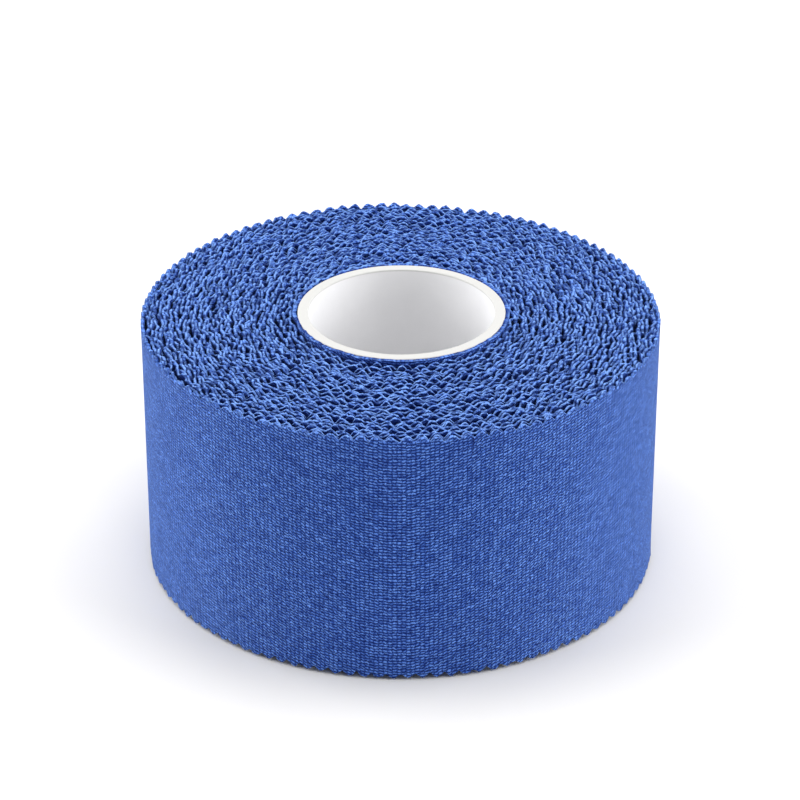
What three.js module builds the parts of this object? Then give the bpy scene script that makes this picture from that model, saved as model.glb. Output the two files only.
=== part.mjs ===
// A roll of cotton athletic tape with pinked (zigzag) edges, wound on a white tube core.
// Millimetres, +Z up along the roll's axis, origin at the centre of the flat end it stands on.
import * as THREE from "three";

// Driving dimensions
const tapeWidth = 38; // tip to tip of the pinked edges
const tapeLength = 6000;
const outerRadius = 36.8; // over the last turn, at its cut end
const coreOuterRadius = 14.65;
const coreWall = 1.4;
const coreChamfer = 0.2; // the worn edge of the tube's rims
const seatGap = 0.3; // between the core and the first turn
const toothPitch = 2.0; // of the pinking, along the tape
const toothDepth = 0.85;
const ridgeCount = 9; // main ridges of pinked edge across each end face, the rim among them
const furrowDepth = 1.15; // between two ridges, below the tooth tips
const firstTurnDepth = 0.35; // the first turn's edge beside the core, which is nearly flush
const lapArc = 0.25; // arc taken by the step at the tape's cut end
const tailAngle = Math.PI / 2; // the cut end lies at the back, on +Y
const coreSegments = 96;

// Worked out from them
const fullTurn = 2 * Math.PI;
const innerRadius = coreOuterRadius + seatGap;
const ridgeSpacing = (outerRadius - innerRadius) / ridgeCount;
const woundArea = Math.PI * (outerRadius ** 2 - innerRadius ** 2);
const turnThickness = woundArea / tapeLength;
const turnsPerRidge = ridgeSpacing / turnThickness;
const phaseDrift = ((fullTurn * turnThickness) / toothPitch) % 1; // of the teeth, from turn to turn

const clothBlue = new THREE.MeshStandardMaterial({ color: 0x3c66c2, roughness: 0.92, metalness: 0 });
const tubeWhite = new THREE.MeshStandardMaterial({ color: 0xf5f4f0, roughness: 0.6, metalness: 0 });

// Teeth that a turn at this radius has room for.
function teethAt(radius) {
  return Math.round((fullTurn * radius) / toothPitch);
}

// A ring of points, each an angle, a radius and a depth below the tooth tips.
// A ridge has a tip and a notch for each tooth, and drifts in phase with the turns between.
function ridgeRing(ridge) {
  const radius = outerRadius - ridge * ridgeSpacing;
  const teeth = teethAt(radius);
  const shift = (ridge * turnsPerRidge * phaseDrift) % 1;
  const ring = [];
  for (let k = 0; k < teeth * 2; k++) {
    const angle = tailAngle + ((k / 2 + shift) / teeth) * fullTurn;
    ring.push({ angle, radius, depth: k % 2 === 0 ? 0 : toothDepth });
  }
  return ring;
}

// The rim of the last turn: its radius shrinks by one thickness on the way round to the cut end,
// where a step brings it out again.
function rimRing() {
  const ring = ridgeRing(0);
  for (const [k, point] of ring.entries()) point.radius -= (turnThickness * k) / ring.length;
  const underLap = tailAngle + fullTurn - lapArc / outerRadius;
  ring.push({ angle: underLap, radius: outerRadius - turnThickness, depth: 0 });
  return ring;
}

// A ring at one depth: the furrow inside a ridge, or the edge of the first turn beside the core.
function evenRing(radius, depth) {
  const count = teethAt(radius);
  const ring = [];
  for (let k = 0; k < count; k++) {
    ring.push({ angle: tailAngle + (k / count) * fullTurn, radius, depth });
  }
  return ring;
}

// The rings of one end face, from the rim in to the core.
function faceRings() {
  const rings = [];
  for (let ridge = 0; ridge < ridgeCount; ridge++) {
    rings.push(ridge === 0 ? rimRing() : ridgeRing(ridge));
    const furrow = outerRadius - (ridge + 0.5) * ridgeSpacing;
    rings.push(evenRing(furrow, furrowDepth));
  }
  rings.push(evenRing(innerRadius, firstTurnDepth));
  return rings;
}

// Puts a ring's points into the list and gives back their numbers and angles.
function laidDown(ring, heightOf, positions) {
  return ring.map(({ angle, radius, depth }) => {
    positions.push(radius * Math.cos(angle), radius * Math.sin(angle), heightOf(depth));
    return { angle, index: positions.length / 3 - 1 };
  });
}

// Triangles between two rings with any number of points, walking round both by angle.
function stitch(from, to, faces) {
  const at = (ring, k) => ring[k % ring.length].index;
  const angleAt = (ring, k) => ring[k % ring.length].angle + Math.floor(k / ring.length) * fullTurn;
  let i = 0;
  let j = 0;
  while (i < from.length || j < to.length) {
    const nextFrom = i < from.length ? angleAt(from, i + 1) : Infinity;
    const nextTo = j < to.length ? angleAt(to, j + 1) : Infinity;
    if (nextFrom <= nextTo) {
      faces.push(at(from, i), at(from, i + 1), at(to, j));
      i++;
    } else {
      faces.push(at(from, i), at(to, j + 1), at(to, j));
      j++;
    }
  }
}

// One closed skin: over the top from rim to core, down the hole, out underneath and up the wall.
function woundTapeGeometry() {
  const positions = [];
  const top = faceRings().map((ring) => laidDown(ring, (depth) => tapeWidth - depth, positions));
  const bottom = faceRings().map((ring) => laidDown(ring, (depth) => depth, positions));
  const round = [...top, ...bottom.reverse()];
  const faces = [];
  for (const [k, ring] of round.entries()) stitch(ring, round[(k + 1) % round.length], faces);
  const geometry = new THREE.BufferGeometry();
  geometry.setAttribute("position", new THREE.Float32BufferAttribute(positions, 3));
  geometry.setIndex(faces);
  return geometry;
}

// The tube core: one turned section, closed on itself, with both rims slightly rounded over.
function coreGeometry() {
  const inner = coreOuterRadius - coreWall;
  const c = coreChamfer;
  const section = [
    [inner, c],
    [inner + c, 0],
    [coreOuterRadius - c, 0],
    [coreOuterRadius, c],
    [coreOuterRadius, tapeWidth - c],
    [coreOuterRadius - c, tapeWidth],
    [inner + c, tapeWidth],
    [inner, tapeWidth - c],
    [inner, c],
  ];
  const profile = section.map(([radius, height]) => new THREE.Vector2(radius, height));
  return new THREE.LatheGeometry(profile, coreSegments).rotateX(Math.PI / 2);
}

function named(name, geometry, material) {
  const mesh = new THREE.Mesh(geometry, material);
  mesh.name = name;
  return mesh;
}

const roll = new THREE.Group();
roll.add(named("wound_tape", woundTapeGeometry(), clothBlue));
roll.add(named("core_tube", coreGeometry(), tubeWhite));

export default roll;
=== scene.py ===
import math

import bpy
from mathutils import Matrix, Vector


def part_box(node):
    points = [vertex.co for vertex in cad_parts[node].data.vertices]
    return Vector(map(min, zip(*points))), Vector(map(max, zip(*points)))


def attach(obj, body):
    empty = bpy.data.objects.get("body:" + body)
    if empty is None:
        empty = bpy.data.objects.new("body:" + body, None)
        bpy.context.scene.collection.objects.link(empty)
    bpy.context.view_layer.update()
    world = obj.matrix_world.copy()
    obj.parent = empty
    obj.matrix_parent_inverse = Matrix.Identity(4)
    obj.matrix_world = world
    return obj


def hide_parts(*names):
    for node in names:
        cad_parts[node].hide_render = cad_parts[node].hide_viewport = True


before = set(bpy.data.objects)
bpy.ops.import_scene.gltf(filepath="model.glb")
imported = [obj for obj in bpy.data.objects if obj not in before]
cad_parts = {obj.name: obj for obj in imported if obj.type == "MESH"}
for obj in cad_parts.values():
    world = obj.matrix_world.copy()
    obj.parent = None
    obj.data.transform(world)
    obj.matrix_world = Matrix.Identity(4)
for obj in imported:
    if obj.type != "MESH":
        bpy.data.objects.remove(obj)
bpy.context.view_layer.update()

# Sizes of the roll, from the frame
tapeLow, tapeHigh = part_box("wound_tape")
coreLow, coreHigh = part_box("core_tube")
tapeWidth = tapeHigh.z - tapeLow.z
outerRadius = tapeHigh.y  # over the cut end, which lies at +Y
coreRadius = coreHigh.x
mm = 0.001


# Helpers for node trees

def feed(tree, socket, value):
    if isinstance(value, bpy.types.NodeSocket):
        tree.links.new(value, socket)
    else:
        socket.default_value = value


def calc(tree, operation, *values, clamp=False):
    node = tree.nodes.new("ShaderNodeMath")
    node.operation = operation
    node.use_clamp = clamp
    for socket, value in zip(node.inputs, values):
        feed(tree, socket, value)
    return node.outputs[0]


def combine(tree, x, y, z):
    node = tree.nodes.new("ShaderNodeCombineXYZ")
    for socket, value in zip(node.inputs, (x, y, z)):
        feed(tree, socket, value)
    return node.outputs[0]


def separate(tree, vector):
    node = tree.nodes.new("ShaderNodeSeparateXYZ")
    feed(tree, node.inputs[0], vector)
    return node.outputs


def noise(tree, vector, scale, detail=2.0, roughness=0.5, output="Fac"):
    node = tree.nodes.new("ShaderNodeTexNoise")
    feed(tree, node.inputs["Vector"], vector)
    feed(tree, node.inputs["Scale"], scale)
    node.inputs["Detail"].default_value = detail
    node.inputs["Roughness"].default_value = roughness
    return node.outputs[output]


def swing(tree, value, gain):
    # Noise lies about 0.5, and a swing about 0
    return calc(tree, "MULTIPLY", calc(tree, "SUBTRACT", value, 0.5), gain)


def randomOf(tree, number):
    node = tree.nodes.new("ShaderNodeTexWhiteNoise")
    node.noise_dimensions = "1D"
    feed(tree, node.inputs["W"], number)
    return node.outputs["Value"]


def remap(tree, value, fromLow, fromHigh, toLow, toHigh):
    node = tree.nodes.new("ShaderNodeMapRange")
    for name, number in (
        ("Value", value),
        ("From Min", fromLow),
        ("From Max", fromHigh),
        ("To Min", toLow),
        ("To Max", toHigh),
    ):
        feed(tree, node.inputs[name], number)
    return node.outputs["Result"]


def addSockets(tree, inputs, outputs):
    for name, kind in inputs:
        tree.interface.new_socket(name, in_out="INPUT", socket_type=kind)
    for name, kind in outputs:
        tree.interface.new_socket(name, in_out="OUTPUT", socket_type=kind)


# The wound tape: one strip of cloth with pinked edges, laid along a spiral

tape = {
    "length": 6.0,
    "clothThickness": 0.53 * mm,
    "toothPitch": 2.0 * mm,
    "toothDepth": 0.52 * mm,
    "toothVariation": 1.4,  # share of the depth
    "shallowPower": 2.0,  # above 1, most notches are shallow and a few are deep
    "shallowMiddle": 0.3,
    "toothRounding": 1.3,  # of the notches: sharp at 1, as round as the tips at 2
    "toothDrift": 0.2,  # how far the teeth run ahead or behind, in teeth
    "toothDriftPeriod": 200.0 * mm,
    "toothDriftGain": 4.0,
    "toothBend": 0.30 * mm,  # how far a tooth's tip leans in or out
    "columnsPerTooth": 10,
    "rows": 1,
    "shoulder": 0.24 * mm,  # fall of the cut edge from its crest to its inner rim
    "edgeSway": 0.45 * mm,  # how far a turn's edge may lie below the highest one
    "edgeSwayPeriod": 6.0 * mm,
    "fray": 0.30 * mm,  # of the cut threads
    "frayPeriod": 0.7 * mm,
    "planSway": 0.55 * mm,  # bending of the edges in plan that neighbours share
    "planSwayPeriod": 3.0 * mm,
    "turnSway": 0.34 * mm,  # and that each turn has for itself
    "turnSwayPeriod": 1.15 * mm,
    "swayGain": 3.0,
    "bendPower": 12.0,  # how fast the bending dies out towards the tape's middle
    "bendTurns": (0.3, 1.2),  # it sets in between these turns
    "flushFrom": 0.7,  # turns whose edges lie nearly flush with the core's rims
    "flushTurns": 1.0,  # turns until they fall away in full
    "flushShare": 0.10,  # of the fall, while they lie flush
    "roundTurns": 5.0,  # turns until the winding is an even spiral
    "stepFrom": 0.9,  # part of a round turn that lies before its step over the tape's start
    "seatGap": 0.02 * mm,  # between the core and the first turn
    "tailAngle": math.pi / 2,
    "turnPieces": 3,
    "sharpAngle": math.radians(32),  # edges that turn by more are shaded sharp
    "seed": 7.0,
}

# Points across the cloth from its outer face at 1 to its inner face at -1, each with the share
# of the shoulder by which it lies below the crest
cutEdge = {
    "outerFall": 0.5,
    "innerFall": 1.0,
    "top": [(0.6, 0.18), (0.15, 0.0), (-0.3, 0.3), (-0.7, 0.7)],
    "bottom": [(-0.3, 0.3), (0.15, 0.0)],
}

# Steps in the noise and the random numbers that keep the top and the bottom edge apart
lanes = {"drift": 4.3, "depth": 311.7, "lean": 97.3, "sway": 7.1, "fray": 2.9, "bend": 9.0}

noiseRange = (0.28, 0.72)  # where nearly all values of the noise lie

# The last turn is a piece of its own, finer from edge to edge and pressed flatter
wrap = {
    "turns": 1.02,
    "rows": 40,
    "toothDepth": 0.68 * mm,
    "toothVariation": 0.4,
    "toothBend": 0.06 * mm,
    "planSway": 0.05 * mm,
    "turnSway": 0.05 * mm,
    "edgeSway": 0.16 * mm,
}


def spiralSizes():
    halfCloth = tape["clothThickness"] / 2
    startRadius = coreRadius + tape["seatGap"] + halfCloth
    endRadius = outerRadius - halfCloth
    spacing = math.pi * (endRadius**2 - startRadius**2) / tape["length"]
    turns = (endRadius - startRadius) / spacing
    step = tape["toothPitch"] / tape["columnsPerTooth"]
    columns = int(tape["length"] / step) + 1
    return {
        "startRadius": startRadius,
        "endRadius": endRadius,
        "spacing": spacing,
        "turns": turns,
        "step": step,
        "columns": columns,
    }


def spiralFields(tree, column, inputs):
    # Swept angle of an even spiral at this length along the tape, then its radius and its place
    run = calc(tree, "MULTIPLY", column, inputs["Column Step"])
    start = inputs["Start Radius"]
    spacing = inputs["Turn Spacing"]
    startSquared = calc(tree, "MULTIPLY", start, start)
    grown = calc(tree, "DIVIDE", calc(tree, "MULTIPLY", spacing, run), math.pi)
    radius = calc(tree, "SQRT", calc(tree, "ADD", startSquared, grown))
    turn = calc(tree, "DIVIDE", calc(tree, "SUBTRACT", radius, start), spacing)
    swept = calc(tree, "MULTIPLY", turn, 2 * math.pi)
    angle = calc(tree, "SUBTRACT", inputs["End Angle"], swept)
    # The first turns lie round on the core and step over the tape's start; later ones even out
    within = calc(tree, "FRACT", turn)
    ahead = calc(tree, "SUBTRACT", within, remap(tree, within, tape["stepFrom"], 1.0, 0.0, 1.0))
    ahead = calc(tree, "MULTIPLY", ahead, remap(tree, turn, 1.0, inputs["Round Turns"], 1.0, 0.0))
    radius = calc(tree, "SUBTRACT", radius, calc(tree, "MULTIPLY", spacing, ahead))
    return run, radius, turn, angle


def toothFields(tree, column, run, side, inputs):
    # Depth of the pinked edge below its tips, and how far this tooth leans out of the turn
    slow = calc(tree, "MULTIPLY", run, 1 / tape["toothDriftPeriod"])
    slow = combine(tree, slow, side * lanes["drift"], inputs["Seed"])
    driftGain = calc(tree, "MULTIPLY", inputs["Tooth Drift"], tape["toothDriftGain"])
    drift = swing(tree, noise(tree, slow, 1.0), driftGain)
    phase = calc(tree, "ADD", calc(tree, "DIVIDE", column, inputs["Columns per Tooth"]), drift)
    tooth = calc(tree, "FLOOR", phase)  # a tooth lies between two notches
    wave = calc(tree, "ABSOLUTE", calc(tree, "SINE", calc(tree, "MULTIPLY", phase, math.pi)))
    notch = calc(tree, "SUBTRACT", 1.0, calc(tree, "POWER", wave, tape["toothRounding"]))
    nearest = calc(tree, "FLOOR", calc(tree, "ADD", phase, 0.5))
    seeded = calc(tree, "ADD", nearest, calc(tree, "ADD", inputs["Seed"], side * lanes["depth"]))
    spread = calc(tree, "POWER", randomOf(tree, seeded), tape["shallowPower"])
    spread = calc(tree, "SUBTRACT", spread, tape["shallowMiddle"])
    varied = calc(tree, "ADD", 1.0, calc(tree, "MULTIPLY", spread, inputs["Tooth Variation"]))
    drop = calc(tree, "MULTIPLY", notch, calc(tree, "MULTIPLY", inputs["Tooth Depth"], varied))
    leaning = calc(tree, "ADD", tooth, calc(tree, "ADD", inputs["Seed"], side * lanes["lean"]))
    lean = swing(tree, randomOf(tree, leaning), 2.0)
    lean = calc(tree, "MULTIPLY", calc(tree, "MULTIPLY", lean, wave), inputs["Tooth Bend"])
    return drop, lean


def edgeDrop(tree, run, side, inputs):
    # Rise and fall of the tape's edge below the highest turn: a slow one, and the cut threads
    swayAt = calc(tree, "DIVIDE", run, inputs["Edge Sway Period"])
    swayAt = combine(tree, swayAt, side * lanes["sway"], inputs["Seed"])
    sway = remap(tree, noise(tree, swayAt, 1.0, detail=3.0, roughness=0.6), *noiseRange, 0.0, 1.0)
    frayAt = calc(tree, "DIVIDE", run, inputs["Fray Period"])
    frayAt = combine(tree, frayAt, side * lanes["fray"], inputs["Seed"])
    fray = remap(tree, noise(tree, frayAt, 1.0, detail=1.0), *noiseRange, 0.0, 1.0)
    return calc(
        tree,
        "ADD",
        calc(tree, "MULTIPLY", sway, inputs["Edge Sway"]),
        calc(tree, "MULTIPLY", fray, inputs["Fray"]),
    )


def buildWindTree():
    tree = bpy.data.node_groups.new("windTape", "GeometryNodeTree")
    number, whole = "NodeSocketFloat", "NodeSocketInt"
    inputNames = [
        ("Section", "NodeSocketGeometry"),
        ("First Column", whole),
        ("Columns", whole),
        ("Column Step", number),
        ("Columns per Tooth", number),
        ("Start Radius", number),
        ("Turn Spacing", number),
        ("End Angle", number),
        ("Width", number),
        ("Cloth Thickness", number),
        ("Shoulder", number),
        ("Tooth Depth", number),
        ("Tooth Variation", number),
        ("Tooth Drift", number),
        ("Tooth Bend", number),
        ("Edge Sway", number),
        ("Edge Sway Period", number),
        ("Fray", number),
        ("Fray Period", number),
        ("Plan Sway", number),
        ("Plan Sway Period", number),
        ("Turn Sway", number),
        ("Turn Sway Period", number),
        ("Flush Turns", number),
        ("Round Turns", number),
        ("Seed", number),
        ("Material", "NodeSocketMaterial"),
    ]
    addSockets(tree, inputNames, [("Geometry", "NodeSocketGeometry")])
    inputs = tree.nodes.new("NodeGroupInput").outputs
    link = tree.links.new

    # The path is only a row of points: each point knows its column
    line = tree.nodes.new("GeometryNodeCurvePrimitiveLine")
    path = tree.nodes.new("GeometryNodeResampleCurve")
    path.mode = "COUNT"
    link(line.outputs["Curve"], path.inputs["Curve"])
    link(inputs["Columns"], path.inputs["Count"])
    index = tree.nodes.new("GeometryNodeInputIndex").outputs[0]
    storeColumn = tree.nodes.new("GeometryNodeStoreNamedAttribute")
    storeColumn.inputs["Name"].default_value = "column"
    link(path.outputs["Curve"], storeColumn.inputs["Geometry"])
    link(calc(tree, "ADD", index, inputs["First Column"]), storeColumn.inputs["Value"])

    # The cloth's section: x is inner to outer face, y is bottom to top edge, z its rounding
    outline = tree.nodes.new("GeometryNodeMeshToCurve")
    link(inputs["Section"], outline.inputs["Mesh"])
    storeSection = tree.nodes.new("GeometryNodeStoreNamedAttribute")
    storeSection.data_type = "FLOAT_VECTOR"
    storeSection.inputs["Name"].default_value = "section"
    link(outline.outputs["Curve"], storeSection.inputs["Geometry"])
    link(tree.nodes.new("GeometryNodeInputPosition").outputs[0], storeSection.inputs["Value"])

    sweep = tree.nodes.new("GeometryNodeCurveToMesh")
    sweep.inputs["Fill Caps"].default_value = True
    link(storeColumn.outputs["Geometry"], sweep.inputs["Curve"])
    link(storeSection.outputs["Geometry"], sweep.inputs["Profile Curve"])

    readColumn = tree.nodes.new("GeometryNodeInputNamedAttribute")
    readColumn.inputs["Name"].default_value = "column"
    readSection = tree.nodes.new("GeometryNodeInputNamedAttribute")
    readSection.data_type = "FLOAT_VECTOR"
    readSection.inputs["Name"].default_value = "section"
    column = readColumn.outputs["Attribute"]
    face, height, rounding = separate(tree, readSection.outputs["Attribute"])

    run, radius, turn, angle = spiralFields(tree, column, inputs)
    dropTop, leanTop = toothFields(tree, column, run, 1.0, inputs)
    dropBottom, leanBottom = toothFields(tree, column, run, -1.0, inputs)
    # The first turn lies nearly flush with the core's rims, and the next ones fall away from them
    flushTo = calc(tree, "ADD", inputs["Flush Turns"], tape["flushFrom"])
    flush = remap(tree, turn, tape["flushFrom"], flushTo, tape["flushShare"], 1.0)
    edgeTop = calc(tree, "ADD", dropTop, edgeDrop(tree, run, 1.0, inputs))
    edgeTop = calc(tree, "SUBTRACT", inputs["Width"], calc(tree, "MULTIPLY", edgeTop, flush))
    edgeBottom = calc(tree, "ADD", dropBottom, edgeDrop(tree, run, -1.0, inputs))
    edgeBottom = calc(tree, "MULTIPLY", edgeBottom, flush)
    reach = calc(tree, "MULTIPLY", height, calc(tree, "SUBTRACT", edgeTop, edgeBottom))
    upper = calc(tree, "SIGN", calc(tree, "SUBTRACT", height, 0.5))
    fall = calc(tree, "MULTIPLY", calc(tree, "MULTIPLY", rounding, upper), inputs["Shoulder"])
    fall = calc(tree, "MULTIPLY", fall, flush)
    level = calc(tree, "SUBTRACT", calc(tree, "ADD", edgeBottom, reach), fall)

    # Edges bend in plan: neighbours share some of it, and each turn and tooth adds its own
    flat = combine(
        tree,
        calc(tree, "MULTIPLY", radius, calc(tree, "COSINE", angle)),
        calc(tree, "MULTIPLY", radius, calc(tree, "SINE", angle)),
        level,
    )
    shared = noise(tree, flat, calc(tree, "DIVIDE", 1.0, inputs["Plan Sway Period"]), detail=1.0)
    shared = swing(tree, shared, tape["swayGain"])
    own = combine(
        tree,
        calc(tree, "DIVIDE", run, inputs["Turn Sway Period"]),
        calc(tree, "MULTIPLY", upper, lanes["bend"]),
        inputs["Seed"],
    )
    single = swing(tree, noise(tree, own, 1.0, detail=1.0), tape["swayGain"])
    bend = calc(tree, "MULTIPLY", shared, inputs["Plan Sway"])
    bend = calc(tree, "ADD", bend, calc(tree, "MULTIPLY", single, inputs["Turn Sway"]))
    isTop = calc(tree, "GREATER_THAN", height, 0.5)
    lean = calc(tree, "MULTIPLY", leanTop, isTop)
    lean = calc(tree, "ADD", lean, calc(tree, "MULTIPLY", leanBottom, calc(tree, "SUBTRACT", 1.0, isTop)))
    bend = calc(tree, "ADD", bend, lean)
    # The bending dies out towards the tape's middle
    nearEdge = calc(tree, "MULTIPLY", calc(tree, "ABSOLUTE", calc(tree, "SUBTRACT", height, 0.5)), 2.0)
    bend = calc(tree, "MULTIPLY", bend, calc(tree, "POWER", nearEdge, tape["bendPower"]))
    bend = calc(tree, "MULTIPLY", bend, remap(tree, turn, *tape["bendTurns"], 0.0, 1.0))
    half = calc(tree, "MULTIPLY", inputs["Cloth Thickness"], 0.5)
    place = calc(tree, "ADD", radius, calc(tree, "ADD", calc(tree, "MULTIPLY", face, half), bend))
    position = combine(
        tree,
        calc(tree, "MULTIPLY", place, calc(tree, "COSINE", angle)),
        calc(tree, "MULTIPLY", place, calc(tree, "SINE", angle)),
        level,
    )
    lay = tree.nodes.new("GeometryNodeSetPosition")
    link(sweep.outputs["Mesh"], lay.inputs["Geometry"])
    link(position, lay.inputs["Position"])

    # What the cloth material reads: length and width along the tape, and the cut edges
    storeMap = tree.nodes.new("GeometryNodeStoreNamedAttribute")
    storeMap.data_type = "FLOAT2"
    storeMap.domain = "CORNER"
    storeMap.inputs["Name"].default_value = "clothMap"
    link(lay.outputs["Geometry"], storeMap.inputs["Geometry"])
    link(combine(tree, run, level, 0.0), storeMap.inputs["Value"])
    cloth = storeMap.outputs["Geometry"]
    for name, value in (("edgeTop", edgeTop), ("edgeBottom", edgeBottom)):
        store = tree.nodes.new("GeometryNodeStoreNamedAttribute")
        store.inputs["Name"].default_value = name
        link(cloth, store.inputs["Geometry"])
        link(value, store.inputs["Value"])
        cloth = store.outputs["Geometry"]

    # Smooth along the tape, sharp where its faces turn into the cut edge
    smooth = tree.nodes.new("GeometryNodeSetShadeSmooth")
    link(cloth, smooth.inputs["Geometry"])
    edgeAngle = tree.nodes.new("GeometryNodeInputMeshEdgeAngle").outputs["Unsigned Angle"]
    sharp = tree.nodes.new("GeometryNodeSetShadeSmooth")
    sharp.domain = "EDGE"
    sharp.inputs["Shade Smooth"].default_value = False
    link(smooth.outputs["Geometry"], sharp.inputs["Geometry"])
    link(calc(tree, "GREATER_THAN", edgeAngle, tape["sharpAngle"]), sharp.inputs["Selection"])

    realize = tree.nodes.new("GeometryNodeRealizeInstances")
    link(sharp.outputs["Geometry"], realize.inputs["Geometry"])
    dress = tree.nodes.new("GeometryNodeSetMaterial")
    link(realize.outputs["Geometry"], dress.inputs["Geometry"])
    link(inputs["Material"], dress.inputs["Material"])
    link(dress.outputs["Geometry"], tree.nodes.new("NodeGroupOutput").inputs["Geometry"])
    return tree


def clothSection(rows):
    # A closed loop up the outer face, over the top edge, down the inner face and under:
    # place across the cloth, height from 0 to 1, and fall below the crest of the cut edge
    loop = [(1.0, row / rows, cutEdge["outerFall"]) for row in range(rows + 1)]
    loop += [(face, 1.0, fall) for face, fall in cutEdge["top"]]
    loop += [(-1.0, 1.0, cutEdge["innerFall"]), (-1.0, 0.0, cutEdge["innerFall"])]
    loop += [(face, 0.0, fall) for face, fall in cutEdge["bottom"]]
    mesh = bpy.data.meshes.new("clothSection")
    edges = [(i, (i + 1) % len(loop)) for i in range(len(loop))]
    mesh.from_pydata(loop, edges, [])
    return mesh


def runTree(name, mesh, tree, values):
    # Makes the piece that the tree gives from this mesh, as a plain mesh at the origin
    piece = bpy.data.objects.new(name, mesh)
    bpy.context.scene.collection.objects.link(piece)
    modifier = piece.modifiers.new("wind", "NODES")
    modifier.node_group = tree
    for socket in tree.interface.items_tree:
        if socket.in_out == "INPUT" and socket.name in values:
            modifier[socket.identifier] = values[socket.name]
    evaluated = piece.evaluated_get(bpy.context.evaluated_depsgraph_get())
    finished = bpy.data.meshes.new_from_object(evaluated)
    piece.modifiers.clear()
    piece.data = finished
    finished.name = name
    print(name, "has", sum(len(face.vertices) - 2 for face in finished.polygons), "triangles")
    return piece


def windPiece(name, tree, sizes, firstColumn, columns, own, material):
    values = {
        "First Column": firstColumn,
        "Columns": columns,
        "Column Step": sizes["step"],
        "Columns per Tooth": float(tape["columnsPerTooth"]),
        "Start Radius": sizes["startRadius"],
        "Turn Spacing": sizes["spacing"],
        "End Angle": tape["tailAngle"] + 2 * math.pi * sizes["turns"],
        "Width": tapeWidth,
        "Cloth Thickness": tape["clothThickness"],
        "Shoulder": tape["shoulder"],
        "Tooth Depth": own["toothDepth"],
        "Tooth Variation": own["toothVariation"],
        "Tooth Drift": tape["toothDrift"],
        "Tooth Bend": own["toothBend"],
        "Edge Sway": own["edgeSway"],
        "Edge Sway Period": tape["edgeSwayPeriod"],
        "Fray": tape["fray"],
        "Fray Period": tape["frayPeriod"],
        "Plan Sway": own["planSway"],
        "Plan Sway Period": tape["planSwayPeriod"],
        "Turn Sway": own["turnSway"],
        "Turn Sway Period": tape["turnSwayPeriod"],
        "Flush Turns": tape["flushTurns"],
        "Round Turns": tape["roundTurns"],
        "Seed": tape["seed"],
        "Material": material,
    }
    piece = runTree(name, clothSection(own["rows"]), tree, values)
    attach(piece, "root")
    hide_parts("wound_tape")


def makeTape(edgeMaterial, wallMaterial):
    sizes = spiralSizes()
    tree = buildWindTree()
    wrapLength = wrap["turns"] * 2 * math.pi * sizes["endRadius"]
    wrapColumns = int(wrapLength / sizes["step"])
    wrapFirst = sizes["columns"] - wrapColumns
    perPiece = wrapFirst // tape["turnPieces"]
    for part in range(tape["turnPieces"]):
        first = part * perPiece
        last = wrapFirst if part == tape["turnPieces"] - 1 else first + perPiece
        windPiece(f"tape_turns_{part + 1}", tree, sizes, first, last - first + 1, tape, edgeMaterial)
    windPiece("tape_wrap", tree, sizes, wrapFirst, wrapColumns, wrap, wallMaterial)
    print("wound", round(sizes["turns"], 1), "turns of", round(sizes["spacing"] / mm, 3), "mm")


# The core: a white tube with softly rounded, slightly uneven rims

core = {
    "wall": 1.5 * mm,
    "rimRound": 0.18 * mm,
    "rimSteps": 5,
    "segments": 288,
    "unevenness": 0.05 * mm,
    "waves": [(3, 1.0, 0.5), (7, 0.0, 0.3)],  # of it: number round the tube, start and share
    "rimShare": 0.5,  # of the unevenness in the upper rim's height
    "wallShare": 0.3,  # and in the tube's radius
}


def coreSection():
    inner = coreRadius - core["wall"]
    low, high, soft = coreLow.z, coreHigh.z, core["rimRound"]
    corners = [
        (coreRadius - soft, low + soft, -90),
        (coreRadius - soft, high - soft, 0),
        (inner + soft, high - soft, 90),
        (inner + soft, low + soft, 180),
    ]
    section = []
    for radius, height, first in corners:
        for step in range(core["rimSteps"] + 1):
            turned = math.radians(first + 90 * step / core["rimSteps"])
            section.append((radius + soft * math.cos(turned), height + soft * math.sin(turned)))
    return section


def makeCore(material):
    section = coreSection()
    around = core["segments"]
    mesh = bpy.data.meshes.new("core_sleeve")
    points = []
    for k in range(around):
        angle = 2 * math.pi * k / around
        waves = [math.sin(number * angle + start) * share for number, start, share in core["waves"]]
        sway = core["unevenness"] * sum(waves)
        for radius, height in section:
            dip = abs(sway * core["rimShare"]) if height > tapeWidth / 2 else 0.0
            place = radius + sway * core["wallShare"]
            points.append((place * math.cos(angle), place * math.sin(angle), height - dip))
    count = len(section)
    faces = []
    for k in range(around):
        here, there = k * count, ((k + 1) % around) * count
        for i in range(count):
            j = (i + 1) % count
            faces.append((here + i, there + i, there + j, here + j))
    mesh.from_pydata(points, [], faces)
    piece = bpy.data.objects.new("core_sleeve", mesh)
    bpy.context.scene.collection.objects.link(piece)
    for polygon in mesh.polygons:
        polygon.use_smooth = True
    mesh.materials.append(material)
    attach(piece, "root")
    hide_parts("core_tube")


# Shader groups

yarn = {
    "leanSpread": 4.0,  # how much the slants of the dashes differ
    "rowSeed": 17.3,  # keeps the random numbers of the rows apart
    "acrossPower": 1.5,  # roundness of a dash across: the larger, the thinner
    "alongPower": 0.33,  # and along it: the smaller, the blunter
    "lowest": 0.65,  # height of the lowest dashes, where the highest are 1
    "gapShadeRange": (0.05, 0.65),  # heights where the painted shade of the gaps ends and the dashes begin
}


def mixColor(tree, share, first, second):
    node = tree.nodes.new("ShaderNodeMix")
    node.data_type = "RGBA"
    feed(tree, node.inputs["Factor"], share)
    feed(tree, node.inputs["A"], first)
    feed(tree, node.inputs["B"], second)
    return node.outputs["Result"]


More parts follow.
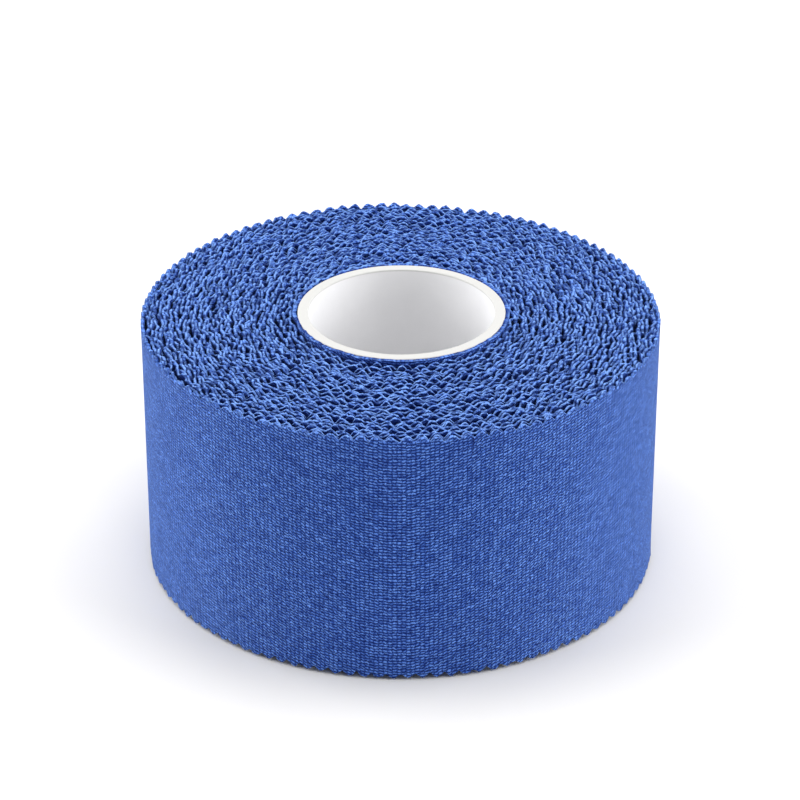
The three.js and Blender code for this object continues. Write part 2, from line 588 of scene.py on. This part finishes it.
def buildWeaveGroup():
    # Cloth of soft twisted yarn: upright ribs cut each row into short dashes. The rows climb by
    # Rise, a distance, and Lean says which way each dash slants, from -1 to 1.
    tree = bpy.data.node_groups.new("clothWeave", "ShaderNodeTree")
    number = "NodeSocketFloat"
    addSockets(
        tree,
        [
            ("Vector", "NodeSocketVector"),
            ("Rise", number),
            ("Lean", number),
            ("Row Spacing", number),
            ("Rib Spacing", number),
            ("Wobble", number),
            ("Wobble Scale", number),
            ("Slant", number),
            ("Row Shift", number),
        ],
        [("Height", number), ("Gap Shade", number), ("Thread", number)],
    )
    inputs = tree.nodes.new("NodeGroupInput").outputs
    output = tree.nodes.new("NodeGroupOutput").inputs
    along, across, _ = separate(tree, inputs["Vector"])

    uneven = noise(tree, inputs["Vector"], inputs["Wobble Scale"], roughness=0.6, output="Color")
    unevenU, unevenV, unevenLean = separate(tree, uneven)
    u = calc(tree, "DIVIDE", along, inputs["Rib Spacing"])
    u = calc(tree, "ADD", u, swing(tree, unevenU, inputs["Wobble"]))
    rib = calc(tree, "FLOOR", u)
    within = calc(tree, "SUBTRACT", calc(tree, "SUBTRACT", u, rib), 0.5)
    v = calc(tree, "DIVIDE", calc(tree, "SUBTRACT", across, inputs["Rise"]), inputs["Row Spacing"])
    v = calc(tree, "ADD", v, swing(tree, unevenV, inputs["Wobble"]))
    v = calc(tree, "ADD", v, calc(tree, "MULTIPLY", randomOf(tree, rib), inputs["Row Shift"]))
    lean = calc(tree, "ADD", inputs["Lean"], swing(tree, unevenLean, yarn["leanSpread"]))
    slant = calc(tree, "MULTIPLY", calc(tree, "MULTIPLY", inputs["Slant"], lean), within)
    v = calc(tree, "ADD", v, slant)
    row = calc(tree, "FLOOR", v)
    thread = randomOf(tree, calc(tree, "ADD", rib, calc(tree, "MULTIPLY", row, yarn["rowSeed"])))

    domeU = calc(tree, "ABSOLUTE", calc(tree, "SINE", calc(tree, "MULTIPLY", u, math.pi)))
    domeV = calc(tree, "ABSOLUTE", calc(tree, "SINE", calc(tree, "MULTIPLY", v, math.pi)))
    domeU = calc(tree, "POWER", domeU, yarn["alongPower"])
    domeV = calc(tree, "POWER", domeV, yarn["acrossPower"])
    dash = calc(tree, "MULTIPLY", domeV, domeU)
    height = calc(tree, "MULTIPLY", dash, remap(tree, thread, 0.0, 1.0, yarn["lowest"], 1.0))

    feed(tree, output["Height"], height)
    # Gap: painted shade in the low parts between the dashes
    feed(tree, output["Gap Shade"], remap(tree, height, *yarn["gapShadeRange"], 1.0, 0.0))
    feed(tree, output["Thread"], thread)
    return tree


# Materials

cloth = {
    "deep": (0.028, 0.086, 0.41, 1.0),
    "body": (0.052, 0.150, 0.65, 1.0),
    # pale colour of the painted highlight on the thread tops, also given to the fuzz
    "worn": (0.165, 0.345, 0.93, 1.0),
    # light band of the cut edges: paler fuzz together with a painted highlight
    "crown": (0.25, 0.46, 1.0, 1.0),
    # painted shade, in the gaps between the threads and in the pockets between the turns
    "paintedShade": (0.004, 0.015, 0.13, 1.0),
    "sheen": (0.50, 0.74, 1.0, 1.0),  # of loose fibres seen at a grazing angle
    "rowSpacing": 0.45 * mm,
    "ribSpacing": 0.62 * mm,
    "wobble": 1.2,  # of the rows and ribs, as a share of their spacing
    "wobbleScale": 2000.0,
    "slant": 0.55,  # rise of a dash from end to end, in rows
    "rowShift": 0.5,  # how far the rows of two ribs may differ, in rows
    "rowClimb": 0.16,  # slope of the rows towards both sides of the roll
    "climbBend": 6.0 * mm,
    "patchScale": 900.0,
    "patchNoise": (0.35, 0.65),
    "patchShade": (0.4, 0.6),  # between deep and body
    "threadShade": 0.15,  # and how much a thread may differ
    "wornHeight": (0.5, 0.95),  # painted highlight on the tops of the threads
    "wornShare": 0.95,
    "fuzzScale": 5200.0,
    "fuzzNoise": (0.5, 0.8),
    "fuzzShare": 0.35,
    "fuzzHeight": 0.35,  # against 1 for a thread
    "crownPatchScale": 1300.0,
    "crownPatchNoise": (0.38, 0.62),
    "roughNoise": (0.3, 0.7),
    "roughness": (0.8, 0.95),
    "specular": 0.12,
    "specularTint": (0.6, 0.8, 1.0, 1.0),
    "bumpStrength": 0.8,
    "bumpDepth": 0.20 * mm,
    "crownFrom": 0.0 * mm,  # light band of the cut edge, below its top: paler fuzz and a painted highlight
    "crownTo": 0.14 * mm,
    "shadeFrom": 0.26 * mm,  # depth where painted shade starts to darken the turns
    "shadeTo": 0.90 * mm,
    "besideFrom": 0.2 * mm,  # painted shade on the flat edges beside the core, from its outer face outwards
    "besideTo": 0.9 * mm,
    "besideShade": 0.4,
}

edgeLook = {
    "crownLeast": 0.15,  # share of the light colour along the cut edge, partly a painted highlight
    "crownMost": 1.0,
    "shadeShare": 0.92,  # how dark the painted shade in the pockets between the turns is
    "sheen": 0.10,
    "sheenRoughness": 0.35,
}

wallLook = {
    "crownLeast": 0.2,
    "crownMost": 0.6,
    "shadeShare": 0.0,
    "sheen": 0.38,
    "sheenRoughness": 0.34,
}


def newMaterial(name):
    material = bpy.data.materials.new(name)
    material.use_nodes = True
    tree = material.node_tree
    return material, tree, tree.nodes["Principled BSDF"]


def addBump(tree, surface, relief, values):
    bump = tree.nodes.new("ShaderNodeBump")
    bump.inputs["Strength"].default_value = values["bumpStrength"]
    bump.inputs["Distance"].default_value = values["bumpDepth"]
    feed(tree, bump.inputs["Height"], relief)
    feed(tree, surface.inputs["Normal"], bump.outputs[0])


def weaveNode(tree, weave, values):
    node = tree.nodes.new("ShaderNodeGroup")
    node.node_tree = weave
    for name, value in values.items():
        feed(tree, node.inputs[name], value)
    return node.outputs


def readAttribute(tree, name):
    node = tree.nodes.new("ShaderNodeAttribute")
    node.attribute_name = name
    return node.outputs["Fac"]


def weaveClimb(tree, coordinates):
    # The rows of the weave climb towards both sides, and the dashes lean with them
    side = separate(tree, coordinates)["X"]
    bend = cloth["climbBend"]
    reach = calc(tree, "SQRT", calc(tree, "ADD", calc(tree, "MULTIPLY", side, side), bend * bend))
    return calc(tree, "MULTIPLY", reach, cloth["rowClimb"]), calc(tree, "DIVIDE", side, reach)


def edgeMasks(tree, coordinates):
    # One mask for the light band along the cut edge, partly a painted highlight, and one for the painted
    # shade between the turns
    x, y, height = separate(tree, coordinates)
    belowTop = calc(tree, "SUBTRACT", readAttribute(tree, "edgeTop"), height)
    aboveBottom = calc(tree, "SUBTRACT", height, readAttribute(tree, "edgeBottom"))
    nearest = calc(tree, "MINIMUM", belowTop, aboveBottom)
    crown = remap(tree, nearest, cloth["crownFrom"], cloth["crownTo"], 1.0, 0.0)
    # Painted shade darkens the flat edges of the first turns beside the core, and their light band is
    # taken away
    reach = calc(tree, "ADD", calc(tree, "MULTIPLY", x, x), calc(tree, "MULTIPLY", y, y))
    reach = calc(tree, "SQRT", reach)
    beside = remap(tree, reach, coreRadius + cloth["besideFrom"], coreRadius + cloth["besideTo"], 1.0, 0.0)
    crown = calc(tree, "MULTIPLY", crown, calc(tree, "SUBTRACT", 1.0, beside))
    depth = calc(tree, "MINIMUM", height, calc(tree, "SUBTRACT", tapeWidth, height))
    shade = remap(tree, depth, cloth["shadeFrom"], cloth["shadeTo"], 0.0, 1.0)
    shade = calc(tree, "MAXIMUM", shade, calc(tree, "MULTIPLY", beside, cloth["besideShade"]))
    return crown, shade


def clothMaterial(name, weave, own):
    material, tree, surface = newMaterial(name)
    clothMap = tree.nodes.new("ShaderNodeUVMap")
    clothMap.uv_map = "clothMap"
    coordinates = tree.nodes.new("ShaderNodeTexCoord").outputs["Object"]
    rise, lean = weaveClimb(tree, coordinates)
    threads = weaveNode(
        tree,
        weave,
        {
            "Vector": clothMap.outputs[0],
            "Rise": rise,
            "Lean": lean,
            "Row Spacing": cloth["rowSpacing"],
            "Rib Spacing": cloth["ribSpacing"],
            "Wobble": cloth["wobble"],
            "Wobble Scale": cloth["wobbleScale"],
            "Slant": cloth["slant"],
            "Row Shift": cloth["rowShift"],
        },
    )
    patches = noise(tree, coordinates, cloth["patchScale"], roughness=0.6)
    fuzz = noise(tree, coordinates, cloth["fuzzScale"])

    shade = remap(tree, patches, *cloth["patchNoise"], *cloth["patchShade"])
    threadShade = remap(tree, threads["Thread"], 0.0, 1.0, -cloth["threadShade"], cloth["threadShade"])
    shade = calc(tree, "ADD", shade, threadShade, clamp=True)
    color = mixColor(tree, shade, cloth["deep"], cloth["body"])
    # Painted highlight on the highest parts of the threads
    worn = remap(tree, threads["Height"], *cloth["wornHeight"], 0.0, cloth["wornShare"])
    color = mixColor(tree, worn, color, cloth["worn"])
    fuzzy = remap(tree, fuzz, *cloth["fuzzNoise"], 0.0, cloth["fuzzShare"])
    color = mixColor(tree, fuzzy, color, cloth["worn"])
    # Painted shade in the gaps between the threads
    color = mixColor(tree, threads["Gap Shade"], color, cloth["paintedShade"])
    crown, depth = edgeMasks(tree, coordinates)
    # Painted shade in the pockets between the turns, darker deeper below the cut edge and beside the core
    color = mixColor(tree, calc(tree, "MULTIPLY", depth, own["shadeShare"]), color, cloth["paintedShade"])
    # Patchy light band along the cut edge: paler fuzz and a painted highlight
    crownPatches = noise(tree, coordinates, cloth["crownPatchScale"])
    crownPatches = remap(tree, crownPatches, *cloth["crownPatchNoise"], own["crownLeast"], own["crownMost"])
    color = mixColor(tree, calc(tree, "MULTIPLY", crown, crownPatches), color, cloth["crown"])
    feed(tree, surface.inputs["Base Color"], color)
    roughness = remap(tree, fuzz, *cloth["roughNoise"], *cloth["roughness"])
    feed(tree, surface.inputs["Roughness"], roughness)
    surface.inputs["Sheen Weight"].default_value = own["sheen"]
    surface.inputs["Sheen Roughness"].default_value = own["sheenRoughness"]
    surface.inputs["Sheen Tint"].default_value = cloth["sheen"]
    surface.inputs["Specular IOR Level"].default_value = cloth["specular"]
    surface.inputs["Specular Tint"].default_value = cloth["specularTint"]
    relief = calc(tree, "ADD", threads["Height"], calc(tree, "MULTIPLY", fuzz, cloth["fuzzHeight"]))
    addBump(tree, surface, relief, cloth)
    return material


paper = {
    "dull": (0.82, 0.82, 0.835, 1.0),
    "clean": (0.86, 0.86, 0.875, 1.0),
    "rim": (0.59, 0.587, 0.572, 1.0),  # the cut end of the card: creamier, and darker than the tube's paper as painted shade against the strong light from above
    "mottleScale": 140.0,
    "fibreScale": 2600.0,
    "noise": (0.3, 0.7),
    "roughness": (0.5, 0.65),
    "specular": 0.35,
    "bumpStrength": 0.25,
    "bumpDepth": 0.02 * mm,
}


def paperMaterial():
    material, tree, surface = newMaterial("corePaper")
    coordinates = tree.nodes.new("ShaderNodeTexCoord").outputs["Object"]
    mottle = noise(tree, coordinates, paper["mottleScale"], detail=4.0, roughness=0.6)
    fibres = noise(tree, coordinates, paper["fibreScale"], detail=3.0, roughness=0.7)
    mottle = remap(tree, mottle, *paper["noise"], 0.0, 1.0)
    color = mixColor(tree, mottle, paper["dull"], paper["clean"])
    height = separate(tree, coordinates)["Z"]
    fromEnd = calc(tree, "MINIMUM", height, calc(tree, "SUBTRACT", tapeWidth, height))
    atRim = remap(tree, fromEnd, core["rimRound"], 2 * core["rimRound"], 1.0, 0.0)
    # The rims take the cut end's colour: creamier card, darkened as painted shade on the top-lit rims
    color = mixColor(tree, atRim, color, paper["rim"])
    feed(tree, surface.inputs["Base Color"], color)
    roughness = remap(tree, fibres, *paper["noise"], *paper["roughness"])
    feed(tree, surface.inputs["Roughness"], roughness)
    surface.inputs["Specular IOR Level"].default_value = paper["specular"]
    addBump(tree, surface, fibres, paper)
    return material


# Stage: white floor, soft lights and the camera

stage = {
    "floorSize": 4.0,
    "floorColor": (0.78, 0.768, 0.75, 1.0),
    "floorRoughness": 0.8,
    "worldColor": (1.0, 1.0, 1.0, 1.0),
    "worldStrength": 0.20,
}

lights = {
    "left": {"place": (-0.56, 0.08, 0.24), "size": (0.7, 0.46), "power": 4.6},
    "right": {"place": (0.58, -0.02, 0.24), "size": (0.7, 0.46), "power": 4.6},
    "top": {"place": (0.03, 0.20, 0.80), "size": (0.5, 0.4), "power": 3.8},
    "front": {"place": (0.0, -0.34, 0.84), "size": (0.4, 0.4), "power": 1.9},
}

view = {
    "lens": 142.9,
    "sensor": 36.0,
    "clipStart": 0.01,
    "distance": 0.4562,
    "elevation": math.radians(29.00),
    "tiltUp": math.radians(0.516),  # puts the roll a little below the middle of the picture
    "turnLeft": math.radians(0.0305),
}


def makeFloor():
    half = stage["floorSize"] / 2
    mesh = bpy.data.meshes.new("studio_floor")
    corners = [(-half, -half, 0.0), (half, -half, 0.0), (half, half, 0.0), (-half, half, 0.0)]
    mesh.from_pydata(corners, [], [(0, 1, 2, 3)])
    floor = bpy.data.objects.new("studio_floor", mesh)
    bpy.context.scene.collection.objects.link(floor)
    material, _, surface = newMaterial("studioFloor")
    surface.inputs["Base Color"].default_value = stage["floorColor"]
    surface.inputs["Roughness"].default_value = stage["floorRoughness"]
    mesh.materials.append(material)


def makeLights():
    middle = Vector((0.0, 0.0, tapeWidth / 2))
    for name, values in lights.items():
        data = bpy.data.lights.new(name, "AREA")
        data.shape = "RECTANGLE"
        data.size, data.size_y = values["size"]
        data.energy = values["power"]
        lamp = bpy.data.objects.new(name, data)
        lamp.location = values["place"]
        lamp.rotation_mode = "QUATERNION"
        lamp.rotation_quaternion = (middle - lamp.location).to_track_quat("-Z", "Y")
        bpy.context.scene.collection.objects.link(lamp)
    world = bpy.data.worlds.new("studioWorld")
    world.use_nodes = True
    background = world.node_tree.nodes["Background"]
    background.inputs["Color"].default_value = stage["worldColor"]
    background.inputs["Strength"].default_value = stage["worldStrength"]
    bpy.context.scene.world = world


def makeCamera():
    data = bpy.data.cameras.new("camera")
    data.lens = view["lens"]
    data.sensor_width = view["sensor"]
    data.clip_start = view["clipStart"]
    camera = bpy.data.objects.new("camera", data)
    reach = view["distance"]
    rise = view["elevation"]
    aim = Vector((0.0, 0.0, tapeWidth / 2))
    camera.location = aim + Vector((0.0, -reach * math.cos(rise), reach * math.sin(rise)))
    camera.rotation_euler = (math.pi / 2 - rise + view["tiltUp"], 0.0, view["turnLeft"])
    bpy.context.scene.collection.objects.link(camera)
    bpy.context.scene.camera = camera


bpy.context.scene.view_settings.view_transform = "Standard"
makeCamera()
makeLights()
makeFloor()
print("stage, lights and camera are in place")

weave = buildWeaveGroup()
edgeCloth = clothMaterial("tapeEdgeCloth", weave, edgeLook)
wallCloth = clothMaterial("tapeWallCloth", weave, wallLook)
makeTape(edgeCloth, wallCloth)
print("tape is wound")

makeCore(paperMaterial())
print("core is made")
